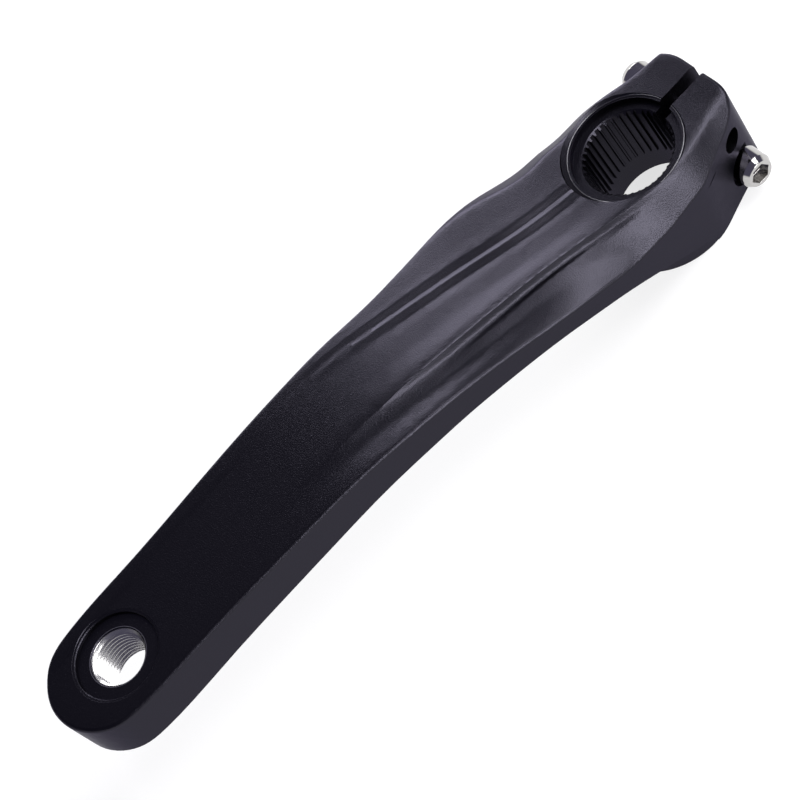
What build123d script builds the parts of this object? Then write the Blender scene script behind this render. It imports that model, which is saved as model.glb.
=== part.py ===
from build123d import *
import os
from collections import namedtuple
from math import acos, atan2, cos, hypot, pi, radians, sin, sqrt, tan

# Left-hand bicycle crank arm: a one-piece forging that clamps on a splined spindle,
# with a threaded eye for the pedal and two pinch bolts. Millimetres.
# The origin is on the spindle axis at the boss's inner face, +X runs to the pedal
# and +Z outwards, away from the frame.

# Driving dimensions of the arm
CENTRES = 170.0            # spindle axis to pedal axis
PEDAL_FACE_Z = 42.5        # outer face at the pedal, above the boss's inner face
PEDAL_EYE_R = 15.5         # round end of the arm
PEDAL_EYE_SHIFT = 4.4      # centre of the round end beyond the pedal axis
EDGE_R = 1.0               # rounding of the outer face's edge
LOWER_BEVEL = 1.4          # bevel of the inner side's edge
CLAMP_STATION = 4          # the outer edge is rounded in two lengths that meet here
SKIN = 60.0                # tool bodies reach this high above the boss's inner face
TOOL_HALF = 36.0           # and this far to each side

# Boss and clamp end
BOSS_R = 21.5              # boss at the parting height
BOSS_DRAFT = 6.6           # degrees
PARTING_Z = 23.0
CLAMP_CORNER_R = 9.0
CLAMP_CORNER_X = 17.2      # centres of the clamp end's corners, behind the spindle axis
CLAMP_CORNER_Y = 6.3
CLAMP_DRAFT = 4.0          # degrees
SLIT_W = 3.5
BOSS_BEVEL = 0.3           # bevel of the boss's inner rim
BOSS_STEP = 0.05           # the round boss stands this far inside the arm's flanks
BOSS_TOP_Z = 20.0          # and ends inside the forging at this height

# Spindle seat
PILOT_R = 12.05            # smooth pilot for a 24 mm spindle
PILOT_CHAMFER = 0.6
PILOT_LENGTH = 8.0
SPLINE_ROOT_R = 11.85
SPLINE_TIP_R = 11.2
SPLINE_PLACES = 40
SPLINE_TOOTH_SHARE = 0.55  # tooth width at its root, as a share of the pitch
SPLINE_SLOPE = 0.35        # flank of a tooth
SPLINE_BITE = 0.3          # teeth grow out of the wall from this far inside it
MASTER_ANGLE = 211.8       # degrees, the wide land and its opposite
MASTER_SHARE = 1.0
RING_Z = 28.0              # narrow ring at the foot of the recess
RING_R = 14.9
RING_W = 0.7
LEDGE_Z = 26.3             # ledge round the spline's mouth, a step below the ring
SPLINE_LEAD = 0.9          # bevel where the teeth start
RECESS_BEVEL = 1.2         # bevel between the ring and the recess's wall
RECESS_DRAFT = 7.0         # degrees

# Pinch bolts, M6 with a 5 mm socket
BOLT_X = -18.4
BOLT_Z = (18.7, 7.2)       # outer bolt enters from -Y, inner bolt from +Y
BOLT_SHANK_R = 3.0
BOLT_LENGTH = 22.0
BOLT_TIP = 0.7
BOLT_HEAD_R = 4.5
BOLT_HEAD_H = 6.2
BOLT_HEAD_BEVEL = (1.5, 0.9)
BOLT_SOCKET_AF = 5.0
BOLT_SOCKET_DEPTH = 3.0
BOLT_SEAT_Y = 13.2         # spot face from the arm's middle plane
BOLT_SLACK = (1.3, 0.45)    # the bolts are backed off: heads above their spot faces
SPOT_FACE_R = 5.6
TAPPED_GAP = 0.05          # between a bolt and its tapped half
CLEARANCE_GAP = 0.25       # between a bolt and its plain half

# Pedal eye: 9/16 inch x 20, left-hand thread cut later
PEDAL_THREAD_R = 7.14
PEDAL_CHAMFER_R = 7.6
PEDAL_SEAT_R = 9.4
PEDAL_SEAT_DEPTH = 1.15
PEDAL_RECESS_R = 10.8
PEDAL_BACK_Z = 28.0        # inner side at the pedal

# Plan of the arm: half width, height of the outer edge there and draft of the flank
Flank = namedtuple("Flank", "share half_width edge_z draft")
FLANKS = (
    Flank(0.065, 22.1, 22.6, 7.0),
    Flank(0.135, 22.9, 25.3, 6.0),
    Flank(0.205, 23.4, 29.9, 5.0),
    Flank(0.265, 22.6, 32.3, 4.0),
    Flank(0.335, 21.0, 34.7, 3.0),
    Flank(0.418, 19.5, 37.1, 2.5),
    Flank(0.500, 18.95, 40.0, 2.0),
    Flank(0.590, 18.05, 41.8, 2.0),
    Flank(0.705, 17.25, 42.5, 1.5),
    Flank(0.900, 16.1, 42.5, 1.5),
)

# Inner side of the arm, from the boss to the pedal eye
UNDERSIDE = ((-0.005, 0.2), (0.080, 9.3), (0.165, 18.1), (0.255, 23.6), (0.380, 26.2),
             (0.500, 28.7), (0.640, 29.4), (0.880, 28.3), (1.200, 27.6))


def at_draft(value, degrees, rise):
    """A half width that grows with height by the forging draft."""
    return value + rise * tan(radians(degrees))


def clamp_tangent(radius, corner_x, corner_y, corner_r):
    """Ends of the straight flank that joins the boss's circle to a corner of the clamp end."""
    distance = hypot(corner_x, corner_y)
    normal = atan2(corner_y, corner_x) - acos((radius - corner_r) / distance)
    boss_end = (radius * cos(normal), radius * sin(normal))
    corner_end = (corner_x + corner_r * cos(normal), corner_y + corner_r * sin(normal))
    return boss_end, corner_end, normal


def half_outline(height):
    """Plan of the +Y half of the forging at one height, from the clamp end to the pedal end."""
    rise = height - PARTING_Z
    radius = at_draft(BOSS_R, BOSS_DRAFT, rise)
    corner_y = at_draft(CLAMP_CORNER_Y, CLAMP_DRAFT, rise)
    corner_x = -CLAMP_CORNER_X
    boss_end, corner_end, normal = clamp_tangent(radius, corner_x, corner_y, CLAMP_CORNER_R)
    turn = (normal + pi) / 2
    swing = (normal + pi / 2) / 2
    end_x = corner_x - CLAMP_CORNER_R
    half = [
        (end_x, 0.0),
        (end_x, corner_y / 2),
        (end_x, corner_y),
        (corner_x + CLAMP_CORNER_R * cos(turn), corner_y + CLAMP_CORNER_R * sin(turn)),
        corner_end,
        ((corner_end[0] + boss_end[0]) / 2, (corner_end[1] + boss_end[1]) / 2),
        boss_end,
        (radius * cos(swing), radius * sin(swing)),
        (0.0, radius),
    ]
    for row in FLANKS:
        half.append((row.share * CENTRES, at_draft(row.half_width, row.draft, height - row.edge_z)))
    eye_x = CENTRES + PEDAL_EYE_SHIFT
    eye_r = at_draft(PEDAL_EYE_R, FLANKS[-1].draft, height - PEDAL_FACE_Z)
    for angle in (90, 67, 45, 22, 0):
        half.append((eye_x + eye_r * cos(radians(angle)), eye_r * sin(radians(angle))))
    return half


def flank_body():
    """The forging's flanks with their draft, as tall as the tool bodies."""
    middle = half_outline(PARTING_Z)
    along = [0.0]
    for near, far in zip(middle, middle[1:]):
        along.append(along[-1] + hypot(far[0] - near[0], far[1] - near[1]))
    shares = [length / along[-1] for length in along]
    faces = []
    for height in (0.0, SKIN):
        points = [Vector(x, y, height) for x, y in half_outline(height)]
        side = Edge.make_spline(points, tangents=[Vector(0, 1, 0), Vector(0, -1, 0)], parameters=shares)
        faces.append(make_face(Wire([side, Line(points[-1], points[0])])))
    half = loft(faces, ruled=True)
    return half + mirror(half, Plane.XZ)


# Outer face. Each row holds, at one place along the arm: the edge's half width and height, the
# crease of the left chamfer and its slope, the left ridge, the right crest, and how deep the
# left groove, the middle flute, the riser beside the crest and the right flute are.
Ridge = namedtuple(
    "Ridge", "share edge_y edge_z left_y left_z chamfer ridge_y spread crest_y crest_z soft groove sag step scoop")
RIDGES = (
    Ridge(-0.2118, 11.6, 24.0, -9.0, 27.7, 1.4, 0.36, 0.6, 7.9, 27.7, 1.2, 0.00, 0.0, 0.0, 0.0),
    Ridge(-0.1059, 15.8, 24.4, -12.6, 28.1, 1.4, 0.36, 0.6, 12.3, 28.2, 1.2, 0.00, 0.0, 0.0, 0.0),
    Ridge(-0.0235, 21.5, 22.6, -15.2, 29.0, 1.15, 0.1, 0.8, 16.2, 29.7, 1.0, 0.00, 0.0, 0.0, 0.0),
    Ridge(0.0588, 22.1, 22.6, -15.3, 29.3, 0.95, -0.6, 1.0, 15.3, 31.0, 0.6, 0.25, 0.1, 0.3, 0.0),
    Ridge(0.1294, 22.9, 25.1, -16.0, 30.5, 0.8, -1.6, 1.0, 13.0, 32.2, 0.15, 0.50, 0.15, 0.55, 0.1),
    Ridge(0.2059, 23.4, 29.9, -20.4, 31.9, 0.7, -3.8, 1.0, 11.2, 34.2, 0.15, 0.60, 0.2, 0.7, 0.3),
    Ridge(0.2941, 22.0, 33.4, -21.9, 33.6, 0.6, -7.4, 1.0, 9.8, 36.4, 0.15, 0.65, 0.2, 0.7, 0.9),
    Ridge(0.4, 19.8, 36.7, -20.6, 36.8, 0.5, -10.6, 1.0, 8.6, 38.9, 0.15, 0.55, 0.2, 0.5, 1.4),
    Ridge(0.5059, 18.9, 40.1, -20.6, 40.1, 0.4, -12.9, 1.0, 7.5, 40.9, 0.15, 0.15, 0.1, 0.15, 1.1),
    Ridge(0.6118, 17.9, 42.0, -20.6, 42.0, 0.4, -13.2, 1.0, 6.9, 42.2, 0.3, 0.00, 0.0, 0.0, 0.4),
    Ridge(0.7176, 17.2, 42.5, -20.8, 42.5, 0.4, -13.0, 1.0, 6.5, 42.5, 0.3, 0.00, 0.0, 0.0, 0.0),
    Ridge(0.8824, 16.2, 42.5, -20.8, 42.5, 0.4, -12.5, 1.0, 6.0, 42.5, 0.3, 0.00, 0.0, 0.0, 0.0),
    Ridge(1.212, 14.4, 42.5, -20.8, 42.5, 0.4, -11.0, 1.0, 5.0, 42.5, 0.3, 0.00, 0.0, 0.0, 0.0),
)
FACE_HALF = 27.0           # the face is drawn this far to each side
FACE_STATIONS = 28
CREASE_R = 0.45            # softness of the left chamfer's crease
CREASE_ROWS = (-1.5, -0.5, 0.0, 0.5, 1.5)
RISER_W = 0.4              # width of the riser beside the right crest
CREST_ROWS = (0.2, 1.0)    # rows beside the crest
RIDGE_SHAPE = ((-2.9, 0.0), (-1.2, -1.0), (0.0, -0.4), (1.7, -1.2))


def between(share):
    """The ridge values at any place along the arm, on a smooth curve through the rows."""
    last = len(RIDGES) - 2
    i = min(max(sum(row.share <= share for row in RIDGES) - 1, 0), last)
    near, far = RIDGES[i], RIDGES[i + 1]
    before = RIDGES[max(i - 1, 0)]
    after = RIDGES[min(i + 2, last + 1)]
    span = far.share - near.share
    t = (share - near.share) / span
    values = []
    for p0, p1, p2, p3 in zip(before, near, far, after):
        m1 = (p2 - p0) / (far.share - before.share) * span
        m2 = (p3 - p1) / (after.share - near.share) * span
        values.append((2 * t**3 - 3 * t**2 + 1) * p1 + (t**3 - 2 * t**2 + t) * m1
                      + (3 * t**2 - 2 * t**3) * p2 + (t**3 - t**2) * m2)
    return Ridge(*values)


def soft_min(first, second, radius):
    """The lower of two heights, rounded where they cross."""
    gap = first - second
    return (first + second - sqrt(gap * gap + radius * radius)) / 2


def ease(t):
    """A smooth step from 0 to 1."""
    t = min(max(t, 0.0), 1.0)
    return t * t * (3 - 2 * t)


def face_line(x):
    """Points across the outer face at one place along the arm, and which of them lie on its lines."""
    row = between(x / CENTRES)
    facet_y = row.ridge_y + row.spread * RIDGE_SHAPE[0][0]
    band_y = row.ridge_y + row.spread * RIDGE_SHAPE[-1][0]
    band_drop = row.groove * RIDGE_SHAPE[-1][1]
    lean = (row.crest_z - row.left_z) / (row.crest_y - row.left_y)
    fall = (row.crest_z - row.step - row.edge_z) / (row.edge_y - row.crest_y)

    def left_part(y):
        middle = row.left_z + lean * (y - row.left_y)
        sloped = row.left_z + row.chamfer * (y - row.left_y)
        return (y, soft_min(middle, sloped, CREASE_R))

    def right_part(y):
        share = (y - band_y) / (row.crest_y - band_y)
        band = row.left_z + lean * (y - row.left_y) + band_drop * (1 - share)
        band -= row.sag * 4 * share * (1 - share)
        out = (y - row.crest_y) / (row.edge_y - row.crest_y)
        facet = row.crest_z - row.step * ease((y - row.crest_y) / RISER_W) - fall * (y - row.crest_y)
        facet -= row.scoop * 6.75 * max(out, 0) * max(1 - out, 0)**2
        return (y, soft_min(band, facet, row.soft))

    first_y, last_y = [row.left_y + offset for offset in (CREASE_ROWS[0], CREASE_ROWS[-1])]
    left_ys = [-FACE_HALF, (first_y - FACE_HALF) / 2]
    left_ys += [row.left_y + offset for offset in CREASE_ROWS]
    left_ys += [last_y + (facet_y - last_y) * share for share in (0.25, 0.5, 0.75)]
    line = [left_part(y) for y in left_ys]
    marks = []
    for offset, depth in RIDGE_SHAPE[:-1]:
        marks.append(len(line))
        y, z = left_part(row.ridge_y + row.spread * offset)
        line.append((y, z + row.groove * depth))
    marks.append(len(line))
    near_y = row.crest_y - CREST_ROWS[-1]
    line += [right_part(band_y + (near_y - band_y) * share) for share in (0.0, 0.15, 0.4, 0.7)]
    line += [right_part(row.crest_y + offset) for offset in (-CREST_ROWS[1], -CREST_ROWS[0])]
    marks.append(len(line))
    line += [right_part(row.crest_y + offset) for offset in (0.0, CREST_ROWS[0])]
    marks.append(len(line))
    foot_y = row.crest_y + RISER_W
    line += [right_part(foot_y + (FACE_HALF - foot_y) * share) for share in (0.0, 0.1, 0.25, 0.45, 0.7, 1.0)]
    return [Vector(x, y, z) for y, z in line], marks


def station_x(i):
    """Place of one of the sections of the outer face."""
    first, last = RIDGES[0].share, RIDGES[-1].share
    return CENTRES * (first + (last - first) * i / (FACE_STATIONS - 1))


def face_body(divided):
    """Everything below the outer face, which may be divided along its ridge and crest."""
    lines = []
    for i in range(FACE_STATIONS):
        points, marks = face_line(station_x(i))
        lines.append(points)
    shares = [0.0]
    for i in range(1, len(lines[0])):
        shares.append(shares[-1] + sum(points[i].Y - points[i - 1].Y for points in lines))
    shares = [share / shares[-1] for share in shares]
    stops = [0] + (marks if divided else []) + [len(shares) - 1]
    sections = []
    for points in lines:
        whole = Edge.make_spline(points, parameters=shares)
        right = Vector(points[-1].X, points[-1].Y, -SKIN)
        left = Vector(points[0].X, points[0].Y, -SKIN)
        edges = [whole]
        if divided:
            edges = [whole.trim(points[a], points[b]) for a, b in zip(stops, stops[1:])]
        edges += [Line(points[-1], right), Line(right, left), Line(left, points[0])]
        sections.append(make_face(Wire(edges)))
    return loft(sections)


def inner_side_body():
    """Everything on the outer side of the arm's curved inner face."""
    under = [(share * CENTRES, z) for share, z in UNDERSIDE]
    far_x = under[-1][0]
    back_x = -(CLAMP_CORNER_X + 2 * CLAMP_CORNER_R)
    edges = [
        Line((back_x, 0), (under[0][0], 0)),
        Line((under[0][0], 0), under[0]),
        Spline(*under),
        Line(under[-1], (far_x, SKIN)),
        Line((far_x, SKIN), (back_x, SKIN)),
        Line((back_x, SKIN), (back_x, 0)),
    ]
    return extrude(Plane.XZ.offset(-TOOL_HALF) * make_face(Wire(edges)), 2 * TOOL_HALF)


def rim_edges(body, direction, cut_x):
    """Edges between the faces that look up (1) or down (-1) and the flanks, away from a cut at cut_x."""
    def looks(face):
        return face.normal_at(face.position_at(0.5, 0.5)).Z * direction > 0.3
    rim = []
    for face in body.faces():
        if not looks(face):
            continue
        for edge in face.outer_wire().edges():
            shared = [other for other in body.faces() if any(edge.is_same(e) for e in other.edges())]
            if abs(edge.position_at(0.5).X - cut_x) > 0.1 and not all(looks(other) for other in shared):
                rim.append(edge)
    return rim


def forging():
    """Arm, boss and clamp end before machining."""
    cut_x = station_x(CLAMP_STATION)
    lengths = []
    for sign, divided in ((-1, False), (1, True)):
        side = Pos(cut_x + sign * 2 * CENTRES, 0, 0) * Box(4 * CENTRES, 4 * TOOL_HALF, 4 * SKIN)
        length = flank_body() & side & face_body(divided)
        lengths.append(fillet(rim_edges(length, 1, cut_x), EDGE_R))
    body = (lengths[0] + lengths[1]) & inner_side_body()
    lower = [e for e in body.edges().filter_by(lambda e: e.length > CENTRES) if e.position_at(0.5).Z < PEDAL_BACK_Z + 3]
    body = chamfer(lower, LOWER_BEVEL)
    base_r = at_draft(BOSS_R, BOSS_DRAFT, -PARTING_Z) - BOSS_STEP
    top_r = at_draft(BOSS_R, BOSS_DRAFT, BOSS_TOP_Z - PARTING_Z) - BOSS_STEP
    boss = Pos(0, 0, BOSS_TOP_Z / 2) * Cone(base_r, top_r, BOSS_TOP_Z)
    boss = chamfer(boss.edges().sort_by(Axis.Z)[0], BOSS_BEVEL)
    return body + boss


def spindle_seat(body):
    """Bore, spline teeth, mouth and recess on the spindle axis."""
    body = body - Pos(0, 0, SKIN / 2) * Cylinder(SPLINE_ROOT_R, 2 * SKIN)
    body = body - Pos(0, 0, 0) * Cylinder(PILOT_R, 2 * PILOT_LENGTH)
    pitch = 2 * pi / SPLINE_PLACES
    root_r = SPLINE_ROOT_R + SPLINE_BITE
    for place in range(SPLINE_PLACES):
        share = MASTER_SHARE if place % (SPLINE_PLACES // 2) == 0 else SPLINE_TOOTH_SHARE
        wide = root_r * sin(share * pitch / 2)
        narrow = max(wide - SPLINE_SLOPE * (root_r - SPLINE_TIP_R), 0.2)
        tooth = make_face(Polyline((root_r, -wide), (root_r, wide), (SPLINE_TIP_R, narrow),
                                   (SPLINE_TIP_R, -narrow), close=True))
        tooth = Rot(0, 0, MASTER_ANGLE + 360 * place / SPLINE_PLACES) * tooth
        body = body + Pos(0, 0, PILOT_LENGTH) * extrude(tooth, RING_Z - PILOT_LENGTH, dir=(0, 0, 1))
    lead_r = SPLINE_TIP_R + SPLINE_LEAD
    step_r = RING_R - RING_W
    lip_r = RING_R + RECESS_BEVEL
    lip_z = RING_Z + RECESS_BEVEL
    top_r = at_draft(lip_r, RECESS_DRAFT, SKIN - lip_z)
    profile = Polyline((0, LEDGE_Z - 2 * SPLINE_LEAD), (SPLINE_TIP_R - SPLINE_LEAD, LEDGE_Z - 2 * SPLINE_LEAD),
                       (lead_r, LEDGE_Z), (step_r, LEDGE_Z), (step_r, RING_Z), (RING_R, RING_Z),
                       (lip_r, lip_z), (top_r, SKIN), (0, SKIN), close=True)
    recess = revolve(Plane.XZ * make_face(profile), Axis.Z)
    chamfer_tool = Pos(0, 0, PILOT_CHAMFER / 2) * Cone(PILOT_R + PILOT_CHAMFER, PILOT_R, PILOT_CHAMFER)
    return body - recess - chamfer_tool


def along_y(sign, start, end, radius):
    """A round tool along Y between two distances from the middle plane, on one side of it."""
    middle = sign * (start + end) / 2
    return Pos(0, middle, 0) * Rot(90, 0, 0) * Cylinder(radius, end - start)


def clamp_cuts(body):
    """Slit and pinch-bolt holes."""
    reach = CLAMP_CORNER_X + 2 * CLAMP_CORNER_R
    body = body - Pos(-reach / 2, 0, 0) * Box(reach, SLIT_W, 4 * SKIN)
    for sign, z in zip((-1, 1), BOLT_Z):
        place = Pos(BOLT_X, 0, z)
        body = body - place * along_y(sign, 0, TOOL_HALF, BOLT_SHANK_R + CLEARANCE_GAP)
        body = body - place * along_y(sign, BOLT_SEAT_Y, TOOL_HALF, SPOT_FACE_R)
        body = body - place * along_y(-sign, 0, TOOL_HALF, BOLT_SHANK_R + TAPPED_GAP)
    return body


def pedal_eye(body):
    """Dished seat and hole for the pedal axle."""
    seat_z = PEDAL_FACE_Z - PEDAL_SEAT_DEPTH
    slope = PEDAL_CHAMFER_R - PEDAL_THREAD_R
    dish = PEDAL_RECESS_R - PEDAL_SEAT_R
    rise = 2 * PEDAL_SEAT_DEPTH
    rim = (PEDAL_SEAT_R + 1.25 * dish, seat_z + rise)
    profile = Polyline((0, SKIN), (0, 0), (PEDAL_CHAMFER_R + PEDAL_BACK_Z, 0), (PEDAL_THREAD_R, PEDAL_BACK_Z + slope),
                       (PEDAL_THREAD_R, seat_z - slope), (PEDAL_CHAMFER_R, seat_z), (PEDAL_SEAT_R, seat_z),
                       (PEDAL_SEAT_R + 0.75 * dish, seat_z + 0.3 * rise), rim, (rim[0], SKIN), close=True)
    tool = revolve(Plane.XZ * make_face(profile), Axis.Z)
    return body - Pos(CENTRES, 0, 0) * tool


def pinch_bolt():
    """Socket-head bolt with its head's underside on the XY plane and its head towards +Z."""
    head = Pos(0, 0, BOLT_HEAD_H / 2) * Cylinder(BOLT_HEAD_R, BOLT_HEAD_H)
    head = chamfer(head.edges().sort_by(Axis.Z)[-1], *BOLT_HEAD_BEVEL)
    socket = RegularPolygon(BOLT_SOCKET_AF / 2, 6, major_radius=False)
    head = head - Pos(0, 0, BOLT_HEAD_H - BOLT_SOCKET_DEPTH) * extrude(socket, BOLT_SOCKET_DEPTH)
    shank = Pos(0, 0, -BOLT_LENGTH / 2) * Cylinder(BOLT_SHANK_R, BOLT_LENGTH)
    shank = chamfer(shank.edges().sort_by(Axis.Z)[0], BOLT_TIP)
    return head + shank


def crank_arm():
    return pedal_eye(clamp_cuts(spindle_seat(forging())))


def pinch_bolts():
    """Both bolts, slack in the clamp and entered from opposite sides."""
    outer_y, inner_y = [BOLT_SEAT_Y + slack for slack in BOLT_SLACK]
    outer = Pos(BOLT_X, -outer_y, BOLT_Z[0]) * Rot(90, 0, 0) * pinch_bolt()
    inner = Pos(BOLT_X, inner_y, BOLT_Z[1]) * Rot(-90, 0, 0) * pinch_bolt()
    return Compound(children=[outer.solid(), inner.solid()])


os.makedirs("parts", exist_ok=True)
export_step(crank_arm(), "parts/crank_arm.step")
export_step(pinch_bolts(), "parts/pinch_bolts.step")
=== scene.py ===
# %% [markdown]
# # A bicycle crank arm on a white table
# The object is a left-hand crank arm: one black forging with a clamp at one end and a pedal eye at
# the other, and two bright pinch bolts. The CAD model gives its solids in metres, and this lesson
# dresses them: it smooths the forging, cuts the threads, mixes the finishes and lights the picture.

# %% Load the CAD frame
import math

import bpy
from mathutils import Matrix, Vector


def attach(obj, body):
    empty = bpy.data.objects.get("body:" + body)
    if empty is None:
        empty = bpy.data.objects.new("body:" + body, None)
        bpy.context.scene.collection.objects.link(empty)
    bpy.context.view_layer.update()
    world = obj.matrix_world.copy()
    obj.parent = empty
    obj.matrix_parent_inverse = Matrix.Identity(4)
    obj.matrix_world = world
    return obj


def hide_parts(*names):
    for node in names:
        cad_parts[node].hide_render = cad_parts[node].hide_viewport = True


MM = 0.001

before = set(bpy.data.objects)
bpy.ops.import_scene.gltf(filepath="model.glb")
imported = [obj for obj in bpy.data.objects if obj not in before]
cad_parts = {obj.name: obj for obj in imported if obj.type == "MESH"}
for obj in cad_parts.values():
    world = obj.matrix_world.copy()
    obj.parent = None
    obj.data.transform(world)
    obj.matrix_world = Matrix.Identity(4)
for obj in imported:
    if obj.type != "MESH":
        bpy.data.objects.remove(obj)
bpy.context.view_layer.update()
arm_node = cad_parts["crank_arm"]
bolt_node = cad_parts["pinch_bolts"]
print("CAD nodes:", sorted(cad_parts))

# %% [markdown]
# ## Camera
# The camera stands where the photographer stood, found from the known sizes of the holes: the pedal
# hole, the spindle bore and the distance between them. Its three axes are written as they were found.

# %% Camera
CAMERA_PLACE = (0.11688, 0.40268, 0.55795)
CAMERA_RIGHT = (-0.67041, 0.61226, -0.41915)
CAMERA_UP = (-0.74004, -0.51079, 0.43754)
CAMERA_BACK = (0.05379, 0.60352, 0.79553)
LENS = 126.0
SENSOR = 36.0

camera_data = bpy.data.cameras.new("camera")
camera_data.lens = LENS
camera_data.sensor_width = SENSOR
camera = bpy.data.objects.new("camera", camera_data)
bpy.context.scene.collection.objects.link(camera)
turn = Matrix((CAMERA_RIGHT, CAMERA_UP, CAMERA_BACK)).transposed()
camera.matrix_world = Matrix.Translation(CAMERA_PLACE) @ turn.to_4x4()
bpy.context.scene.camera = camera
bpy.context.scene.view_settings.view_transform = "Standard"
print("camera at", [round(value, 3) for value in camera.location])

# %% [markdown]
# ## Floor
# A product picture on white has a bright table that fades into the background. A grey paper takes the
# arm's soft shadow. To the camera, and to polished metal that mirrors it, the paper also glows, which
# lifts it to white with no more light on the arm.

# %% Floor
FLOOR_SIZE = 6.0
FLOOR_MIDDLE = (0.08, 0.0, 0.0)

bpy.ops.object.select_all(action="DESELECT")
bpy.ops.mesh.primitive_plane_add(size=FLOOR_SIZE, location=FLOOR_MIDDLE)
floor = bpy.context.object
floor.name = "floor"
print("floor:", tuple(round(value, 2) for value in floor.dimensions))

# %% White paper of the floor
PAPER_GREY = 0.36
PAPER_GLOW = 0.72


def math_node(tree, operation, *values):
    """A Math node, with the fixed values of its second and later sockets."""
    made = tree.nodes.new("ShaderNodeMath")
    made.operation = operation
    for place, value in enumerate(values, start=1):
        made.inputs[place].default_value = value
    return made


floor_paint = bpy.data.materials.new("white_table")
floor_paint.use_nodes = True
paper_tree = floor_paint.node_tree
paper_tree.nodes.clear()
floor_out = paper_tree.nodes.new("ShaderNodeOutputMaterial")
paper = paper_tree.nodes.new("ShaderNodeBsdfDiffuse")
paper.inputs["Color"].default_value = (PAPER_GREY, PAPER_GREY, PAPER_GREY, 1.0)
glow = paper_tree.nodes.new("ShaderNodeEmission")
glow.inputs["Strength"].default_value = PAPER_GLOW
lit_paper = paper_tree.nodes.new("ShaderNodeAddShader")
ray = paper_tree.nodes.new("ShaderNodeLightPath")
mirrored = math_node(paper_tree, "MAXIMUM")
seen = math_node(paper_tree, "MAXIMUM")
choose = paper_tree.nodes.new("ShaderNodeMixShader")
paper_tree.links.new(paper.outputs[0], lit_paper.inputs[0])
paper_tree.links.new(glow.outputs[0], lit_paper.inputs[1])
paper_tree.links.new(ray.outputs["Is Glossy Ray"], mirrored.inputs[0])
paper_tree.links.new(ray.outputs["Is Transmission Ray"], mirrored.inputs[1])
paper_tree.links.new(ray.outputs["Is Camera Ray"], seen.inputs[0])
paper_tree.links.new(mirrored.outputs[0], seen.inputs[1])
paper_tree.links.new(seen.outputs[0], choose.inputs["Fac"])
paper_tree.links.new(paper.outputs[0], choose.inputs[1])
paper_tree.links.new(lit_paper.outputs[0], choose.inputs[2])
paper_tree.links.new(choose.outputs[0], floor_out.inputs["Surface"])
floor.data.materials.append(floor_paint)
print("floor paint:", floor_paint.name, "with", len(paper_tree.nodes), "nodes")

# %% [markdown]
# ## Room
# Black metal is drawn by what it mirrors. The horizon is white, as the table is, and the ceiling is dim
# and a little cool, so the flat pedal end stays a deep blue-black.

# %% Room
HORIZON = (1.0, 1.0, 1.0, 1.0)
CEILING = (0.110, 0.104, 0.160, 1.0)
HORIZON_TOP = 0.08
CEILING_START = 0.20

world = bpy.data.worlds.new("studio")
world.use_nodes = True
bpy.context.scene.world = world
world_tree = world.node_tree
background = world_tree.nodes["Background"]
look = world_tree.nodes.new("ShaderNodeTexCoord")
height = world_tree.nodes.new("ShaderNodeSeparateXYZ")
rise = world_tree.nodes.new("ShaderNodeMapRange")
rise.inputs["From Min"].default_value = HORIZON_TOP
rise.inputs["From Max"].default_value = CEILING_START
room = world_tree.nodes.new("ShaderNodeMix")
room.data_type = "RGBA"
room.inputs["A"].default_value = HORIZON
room.inputs["B"].default_value = CEILING
world_tree.links.new(look.outputs["Generated"], height.inputs[0])
world_tree.links.new(height.outputs["Z"], rise.inputs["Value"])
world_tree.links.new(rise.outputs["Result"], room.inputs["Factor"])
world_tree.links.new(room.outputs["Result"], background.inputs["Color"])
print("room:", world.name, "dim above a height of", CEILING_START)

# %% [markdown]
# ## Lamps
# Three softboxes draw the flutes. The low one behind the arm lights the band and the left facet, the one
# in front lights the right facet, and the one past the clamp lights the turn between them.

# %% Lamps
ARM_MIDDLE = (0.05, 0.0, 0.03)


def softbox(name, place, width, tall, power):
    """A large lamp that faces the middle of the arm."""
    lamp_data = bpy.data.lights.new(name, "AREA")
    lamp_data.shape = "RECTANGLE"
    lamp_data.size = width
    lamp_data.size_y = tall
    lamp_data.energy = power
    lamp = bpy.data.objects.new(name, lamp_data)
    bpy.context.scene.collection.objects.link(lamp)
    lamp.location = place
    lamp.rotation_euler = (Vector(ARM_MIDDLE) - Vector(place)).to_track_quat("-Z", "Y").to_euler()
    return lamp


side_box = softbox("side_box", place=(-0.50, -1.28, 0.45), width=0.90, tall=0.72, power=17.0)
front_box = softbox("front_box", place=(-0.28, 1.00, 0.63), width=0.60, tall=0.65, power=11.5)
end_box = softbox("end_box", place=(-0.68, 0.10, 1.00), width=1.05, tall=0.50, power=12.5)
print("lamps:", [lamp.name for lamp in (side_box, front_box, end_box)])

# %% [markdown]
# ## Hand tools
# An operator acts on all that is selected, so the first helpers select one piece alone. Round pieces
# start as one closed outline beside an axis, and a Screw modifier turns the outline round it, as a lathe
# does. Turning can leave faces inside out, so they are pointed outwards after it.

# %% Helpers that select and move
SAME_POINT = 0.0001 * MM


def make_active(made):
    """Selects one object alone, as the operators expect."""
    bpy.ops.object.select_all(action="DESELECT")
    made.select_set(True)
    bpy.context.view_layer.objects.active = made


def edit_all(made):
    """Opens one piece in edit mode with all of it selected."""
    make_active(made)
    bpy.ops.object.mode_set(mode="EDIT")
    bpy.ops.mesh.select_all(action="SELECT")


def outward(made):
    """Points the faces of a closed mesh outwards."""
    edit_all(made)
    bpy.ops.mesh.remove_doubles(threshold=SAME_POINT)
    bpy.ops.mesh.normals_make_consistent(inside=False)
    bpy.ops.object.mode_set(mode="OBJECT")


def shift(made, offset):
    """Moves the mesh of a piece and leaves its object at the origin."""
    edit_all(made)
    bpy.ops.transform.translate(value=offset)
    bpy.ops.object.mode_set(mode="OBJECT")


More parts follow.
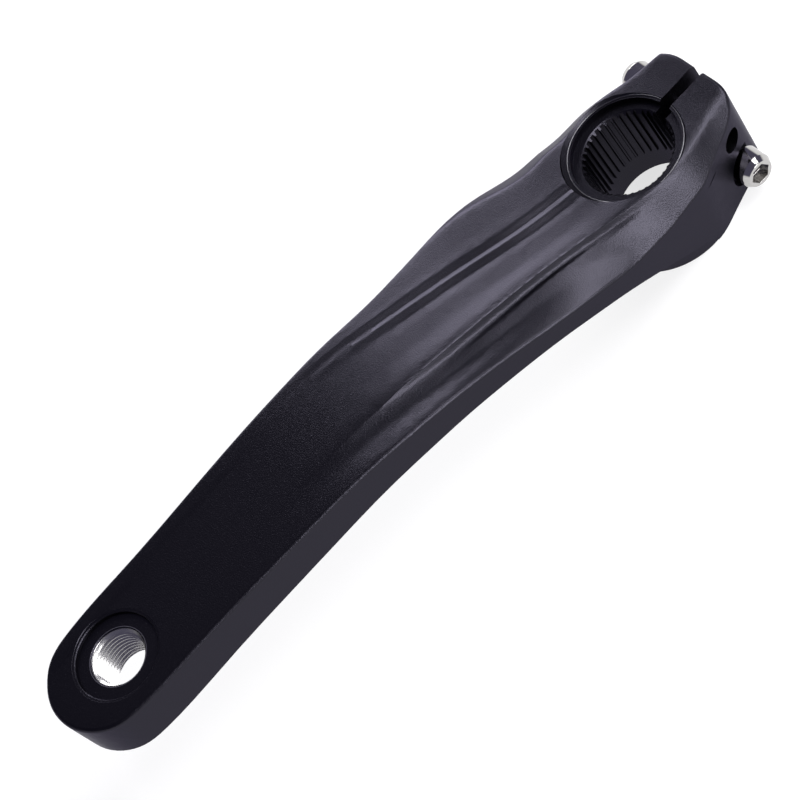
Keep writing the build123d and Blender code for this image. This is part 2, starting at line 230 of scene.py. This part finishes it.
print("points closer than", SAME_POINT, "m are one point")

# %% Helpers that turn and cut
LATHE_STEPS = 144
LATHE_WELD = 0.001 * MM


def profile_object(name, outline):
    """A mesh of one closed outline in the XZ plane, from (radius, height) pairs."""
    mesh = bpy.data.meshes.new(name)
    points = [(radius, 0.0, level) for radius, level in outline]
    edges = [(i, (i + 1) % len(points)) for i in range(len(points))]
    mesh.from_pydata(points, edges, [])
    made = bpy.data.objects.new(name, mesh)
    bpy.context.scene.collection.objects.link(made)
    return made


def turned(name, outline):
    """A closed ring, its outline turned once round the Z axis."""
    ring = profile_object(name, outline)
    make_active(ring)
    lathe = ring.modifiers.new("lathe", "SCREW")
    lathe.axis = "Z"
    lathe.steps = LATHE_STEPS
    lathe.render_steps = LATHE_STEPS
    lathe.use_merge_vertices = True
    lathe.merge_threshold = LATHE_WELD
    bpy.ops.object.modifier_apply(modifier=lathe.name)
    outward(ring)
    return ring


def carve(made, tool, operation):
    """Cuts a piece with a tool by a Boolean modifier, and takes the tool away."""
    make_active(made)
    cut = made.modifiers.new("cut", "BOOLEAN")
    cut.operation = operation
    cut.solver = "EXACT"
    cut.object = tool
    bpy.ops.object.modifier_apply(modifier=cut.name)
    bpy.data.objects.remove(tool)


print("turned pieces have", LATHE_STEPS, "steps")

# %% [markdown]
# ## Forging
# The CAD mesh is loose triangles, so a copy is joined into one skin and stands for it. Smooth shading
# with weighted normals keeps the flat faces flat beside their small roundings.

# %% Helpers for a copy of the CAD
CAD_SAME_POINT = 0.001 * MM
FLAT_WEIGHT = 90


def merged_copy(node, name):
    """A copy of a CAD node with its loose triangles joined into one skin."""
    make_active(node)
    bpy.ops.object.duplicate()
    copy = bpy.context.object
    copy.name = name
    copy.data.name = name
    bpy.ops.object.mode_set(mode="EDIT")
    bpy.ops.mesh.select_all(action="SELECT")
    bpy.ops.mesh.customdata_custom_splitnormals_clear()
    bpy.ops.mesh.remove_doubles(threshold=CAD_SAME_POINT)
    bpy.ops.object.mode_set(mode="OBJECT")
    return copy


def smooth_skin(made, crease):
    """Smooth shading, with edges sharper than the crease angle in degrees kept sharp."""
    make_active(made)
    bpy.ops.object.shade_smooth_by_angle(angle=math.radians(crease))
    weigh = made.modifiers.new("weigh", "WEIGHTED_NORMAL")
    weigh.keep_sharp = True
    weigh.weight = FLAT_WEIGHT
    bpy.ops.object.modifier_apply(modifier=weigh.name)


print("copies are joined within", CAD_SAME_POINT, "m")

# %% [markdown]
# The pedal's washer sits in a turned dish with a stepped rim. The steps could be modelled on the arm
# itself, but a lathe makes the cutter from one outline, and a Boolean takes it out in one cut.

# %% Skin of the forging
PEDAL_X = 170.0 * MM
ARM_CREASE = 28.0
DISH_OUTLINE = ((5.0, 43.5), (12.05, 43.5), (12.05, 42.6), (11.75, 42.30), (11.2, 42.25),
                (11.0, 42.05), (10.85, 41.30), (5.0, 41.30))

arm = merged_copy(arm_node, "forged_arm")
dish = turned("dish_cutter", [(radius * MM, level * MM) for radius, level in DISH_OUTLINE])
shift(dish, (PEDAL_X, 0.0, 0.0))
carve(arm, dish, "DIFFERENCE")
smooth_skin(arm, ARM_CREASE)
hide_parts("crank_arm")
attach(arm, "root")
print("forging:", len(arm.data.polygons), "faces")

# %% [markdown]
# ## Black finish
# The arm is blasted and then anodised, so it is a satin black with a fine grain. It mirrors as a very
# dark metal does, and the Specular Tint holds back the glare at flat angles.

# %% Satin black with a fine grain
BLACK = (0.0310, 0.0297, 0.0375, 1.0)
BLACK_GLARE = (0.56, 0.55, 0.60, 1.0)
BLACK_ROUGHNESS = 0.33
GRAIN_SCALE = 3300.0
GRAIN_DETAIL = 2.0
GRAIN_DEPTH = 0.1 * MM
GRAIN_STRENGTH = 0.6


def principled(name):
    """A new metal, with its node tree and shader."""
    made = bpy.data.materials.new(name)
    made.use_nodes = True
    shader = made.node_tree.nodes["Principled BSDF"]
    shader.inputs["Metallic"].default_value = 1.0
    return made, made.node_tree, shader


black, black_tree, black_shader = principled("anodised_black")
black_shader.inputs["Specular Tint"].default_value = BLACK_GLARE
where = black_tree.nodes.new("ShaderNodeTexCoord")
noise = black_tree.nodes.new("ShaderNodeTexNoise")
noise.inputs["Scale"].default_value = GRAIN_SCALE
noise.inputs["Detail"].default_value = GRAIN_DETAIL
bump = black_tree.nodes.new("ShaderNodeBump")
bump.inputs["Distance"].default_value = GRAIN_DEPTH
black_tree.links.new(where.outputs["Object"], noise.inputs["Vector"])
black_tree.links.new(noise.outputs["Fac"], bump.inputs["Height"])
black_tree.links.new(bump.outputs["Normal"], black_shader.inputs["Normal"])
arm.data.materials.clear()
arm.data.materials.append(black)
print("finish:", black.name, "with a grain of", GRAIN_SCALE, "per metre")

# %% [markdown]
# The pedal eye is cut after the anodising, and there the bare aluminium shows. Its countersink is black,
# with a fine bright line where the tool has broken the edge. The distance from the pedal axis tells these
# places apart, so a mask is made from it.

# %% Mask of the bare metal
BARE_R = 7.20 * MM
EDGE_R = 7.60 * MM
EDGE_HALF = 0.06 * MM
FLATTEN = (1.0, 1.0, 0.0)

flat = black_tree.nodes.new("ShaderNodeVectorMath")
flat.operation = "MULTIPLY"
flat.inputs[1].default_value = FLATTEN
to_axis = black_tree.nodes.new("ShaderNodeVectorMath")
to_axis.operation = "DISTANCE"
to_axis.inputs[1].default_value = (PEDAL_X, 0.0, 0.0)
bare = math_node(black_tree, "LESS_THAN", BARE_R)
edge = math_node(black_tree, "COMPARE", EDGE_R, EDGE_HALF)
bright = math_node(black_tree, "MAXIMUM")
black_tree.links.new(where.outputs["Object"], flat.inputs[0])
black_tree.links.new(flat.outputs["Vector"], to_axis.inputs[0])
black_tree.links.new(to_axis.outputs["Value"], bare.inputs[0])
black_tree.links.new(to_axis.outputs["Value"], edge.inputs[0])
black_tree.links.new(bare.outputs[0], bright.inputs[0])
black_tree.links.new(edge.outputs[0], bright.inputs[1])
print("bare within", BARE_R, "m of the pedal axis, and on the edge at", EDGE_R, "m")

# %% Colour, roughness and grain by the mask
BARE = (0.50, 0.495, 0.49, 1.0)
BARE_ROUGHNESS = 0.28

colour = black_tree.nodes.new("ShaderNodeMix")
colour.data_type = "RGBA"
colour.inputs["A"].default_value = BLACK
colour.inputs["B"].default_value = BARE
rough = black_tree.nodes.new("ShaderNodeMapRange")
rough.inputs["To Min"].default_value = BLACK_ROUGHNESS
rough.inputs["To Max"].default_value = BARE_ROUGHNESS
blasted = black_tree.nodes.new("ShaderNodeMapRange")
blasted.inputs["To Min"].default_value = GRAIN_STRENGTH
blasted.inputs["To Max"].default_value = 0.0
black_tree.links.new(bright.outputs[0], colour.inputs["Factor"])
black_tree.links.new(bright.outputs[0], rough.inputs["Value"])
black_tree.links.new(bright.outputs[0], blasted.inputs["Value"])
black_tree.links.new(colour.outputs["Result"], black_shader.inputs["Base Color"])
black_tree.links.new(rough.outputs["Result"], black_shader.inputs["Roughness"])
black_tree.links.new(blasted.outputs["Result"], bump.inputs["Strength"])
print("finish:", black.name, "with", len(black_tree.nodes), "nodes")

# %% [markdown]
# ## Pinch bolts
# The bolts are polished steel. A bevel rounds the edges of the heads, because a turned head has no
# sharp corner and its shine runs round the shoulder. The flat faces are first made whole, so that the
# bevel meets no stray edge.

# %% Bolts with rounded shoulders
WHOLE_FACE = 0.5
BOLT_EDGE = 18.0
BOLT_ROUND = 0.28 * MM
BOLT_ROUND_STEPS = 3
BOLT_CREASE = 35.0

bolts = merged_copy(bolt_node, "bright_bolts")
edit_all(bolts)
bpy.ops.mesh.dissolve_limited(angle_limit=math.radians(WHOLE_FACE))
bpy.ops.object.mode_set(mode="OBJECT")
shoulder = bolts.modifiers.new("shoulder", "BEVEL")
shoulder.limit_method = "ANGLE"
shoulder.angle_limit = math.radians(BOLT_EDGE)
shoulder.width = BOLT_ROUND
shoulder.segments = BOLT_ROUND_STEPS
bpy.ops.object.modifier_apply(modifier=shoulder.name)
smooth_skin(bolts, BOLT_CREASE)
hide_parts("pinch_bolts")
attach(bolts, "root")
print("bolts:", len(bolts.data.polygons), "faces")

# %% Bright steel
STEEL = (0.48, 0.47, 0.46, 1.0)
STEEL_ROUGHNESS = 0.10

steel, steel_tree, steel_shader = principled("bolt_steel")
steel_shader.inputs["Roughness"].default_value = STEEL_ROUGHNESS
steel_shader.inputs["Base Color"].default_value = STEEL
bolts.data.materials.clear()
bolts.data.materials.append(steel)
print("finish:", steel.name)

# %% [markdown]
# ## Pedal thread
# The CAD hole has a plain wall at the thread's outer radius. The thread is one ridge, drawn as a small
# profile and swept round the pedal axis by a Screw modifier. A left pedal has a left-hand thread, so
# the ridge climbs clockwise.

# %% Ridge of the thread
THREAD_R = 7.14 * MM
THREAD_CREST_R = 6.45 * MM
THREAD_PITCH = 1.27 * MM
THREAD_LOW = 28.46 * MM
THREAD_TURNS = 12
THREAD_CREASE = 35.0
ROOT_BURIED = 0.06 * MM
ROOT_HALF = 0.46
CREST_HALF = 0.07
TURN_STEPS = 72
LEFT_HAND = -1
RIGHT_HAND = 1


def helix(name, root_r, crest_r, pitch, low, turns, hand):
    """A closed thread ridge round the Z axis, with its root buried in the wall."""
    buried_r = root_r + math.copysign(ROOT_BURIED, root_r - crest_r)
    ridge = profile_object(name, [(buried_r, -ROOT_HALF * pitch), (crest_r, -CREST_HALF * pitch),
                                  (crest_r, CREST_HALF * pitch), (buried_r, ROOT_HALF * pitch)])
    make_active(ridge)
    sweep = ridge.modifiers.new("sweep", "SCREW")
    sweep.axis = "Z"
    sweep.angle = hand * 2.0 * math.pi
    sweep.screw_offset = pitch
    sweep.iterations = turns
    sweep.steps = TURN_STEPS
    sweep.render_steps = TURN_STEPS
    bpy.ops.object.modifier_apply(modifier=sweep.name)
    bpy.ops.object.mode_set(mode="EDIT")
    bpy.ops.mesh.select_all(action="DESELECT")
    bpy.ops.mesh.select_non_manifold()
    bpy.ops.mesh.fill_holes(sides=4)
    bpy.ops.object.mode_set(mode="OBJECT")
    shift(ridge, (0.0, 0.0, low))
    outward(ridge)
    return ridge


pedal_thread = helix("pedal_thread", THREAD_R, THREAD_CREST_R, THREAD_PITCH,
                     THREAD_LOW - THREAD_PITCH, THREAD_TURNS, LEFT_HAND)
print("thread ridge:", len(pedal_thread.data.polygons), "faces")

# %% [markdown]
# The hole is countersunk at both ends. A turned ring with bevelled ends is as long as the wall between
# the countersinks, and only the part of the ridge inside it stays.

# %% Trim the ridge at the countersinks
THREAD_HIGH = 40.89 * MM

bevel = THREAD_R - THREAD_CREST_R + 2 * ROOT_BURIED
inner_r = THREAD_CREST_R - ROOT_BURIED
outer_r = THREAD_R + 2 * ROOT_BURIED
ring = turned("thread_ring", [(outer_r, THREAD_LOW), (inner_r, THREAD_LOW + bevel),
                              (inner_r, THREAD_HIGH - bevel), (outer_r, THREAD_HIGH)])
carve(pedal_thread, ring, "INTERSECT")
shift(pedal_thread, (PEDAL_X, 0.0, 0.0))
bpy.ops.object.shade_smooth_by_angle(angle=math.radians(THREAD_CREASE))
pedal_thread.data.materials.append(black)
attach(pedal_thread, "root")
print("trimmed thread:", len(pedal_thread.data.polygons), "faces")

# %% [markdown]
# ## Threads in the clamp
# Each bolt passes a plain half of the clamp and screws into the other. Past the bolt's tip the tapped
# hole is open to the outside, and its thread shows there. The same ridge is turned to lie along Y.

# %% Tapped holes of the clamp
BOLT_X = -18.4 * MM
OUTER_BOLT_Z = 18.7 * MM
INNER_BOLT_Z = 7.2 * MM
TAP_R = 3.05 * MM
TAP_CREST_R = 2.62 * MM
TAP_PITCH = 1.0 * MM
TAP_TURNS = 3
TAP_START = 8.6 * MM


def clamp_thread(name, side, level):
    """The open end of one tapped hole; side is the sign of Y where it comes out."""
    ridge = helix(name, TAP_R, TAP_CREST_R, TAP_PITCH, TAP_START, TAP_TURNS, RIGHT_HAND)
    edit_all(ridge)
    bpy.ops.transform.rotate(value=side * math.pi / 2, orient_axis="X", center_override=(0.0, 0.0, 0.0))
    bpy.ops.transform.translate(value=(BOLT_X, 0.0, level))
    bpy.ops.object.mode_set(mode="OBJECT")
    bpy.ops.object.shade_smooth_by_angle(angle=math.radians(THREAD_CREASE))
    ridge.data.materials.append(black)
    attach(ridge, "root")
    middle = sum((vertex.co for vertex in ridge.data.vertices), Vector()) / len(ridge.data.vertices)
    print(name, "middle in mm:", [round(value / MM, 2) for value in middle])


clamp_thread("outer_tap_thread", 1, OUTER_BOLT_Z)
clamp_thread("inner_tap_thread", -1, INNER_BOLT_Z)

# %% [markdown]
# ## Bead in the bore
# A turning tool leaves a fine raised edge where the toothed ring meets the wall of the recess. It is
# turned as a small ring and sawn open at the slit, and a grey lighter than the black finish paints its
# thin bright highlight round the bore.

# %% Turned edge of the toothed ring
BEAD_R = 14.93 * MM
BEAD_Z = 28.05 * MM
BEAD_HALF = 0.20 * MM
BEAD_SIDES = 10
BEAD_CREASE = 50.0
SLIT_HALF = 1.75 * MM
SAW_REACH = 30.0 * MM
SAW_HEIGHT = 100.0 * MM

bead_outline = []
for side in range(BEAD_SIDES):
    angle = 2.0 * math.pi * side / BEAD_SIDES
    bead_outline.append((BEAD_R + BEAD_HALF * math.cos(angle), BEAD_Z + BEAD_HALF * math.sin(angle)))
bead = turned("bore_bead", bead_outline)
bpy.ops.object.select_all(action="DESELECT")
bpy.ops.mesh.primitive_cube_add(size=1.0)
saw = bpy.context.object
shift(saw, (-0.5, 0.0, 0.0))
saw.scale = (SAW_REACH, 2.0 * SLIT_HALF, SAW_HEIGHT)
make_active(saw)
bpy.ops.object.transform_apply(location=False, rotation=False, scale=True)
carve(bead, saw, "DIFFERENCE")
smooth_skin(bead, BEAD_CREASE)
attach(bead, "root")
print("bead:", len(bead.data.polygons), "faces")

# %% Lighter grey of the turned edge, a painted highlight
# This grey is lighter than the black finish. It is a painted highlight of light catching the edge, not
# the colour of the metal.
EDGE_HIGHLIGHT_GREY = (0.15, 0.147, 0.16, 1.0)
EDGE_ROUGHNESS = 0.30

turned_edge_painted_highlight, edge_tree, edge_shader = principled("turned_edge_painted_highlight")
edge_shader.inputs["Roughness"].default_value = EDGE_ROUGHNESS
edge_shader.inputs["Base Color"].default_value = EDGE_HIGHLIGHT_GREY
bead.data.materials.append(turned_edge_painted_highlight)
print("finish:", turned_edge_painted_highlight.name)
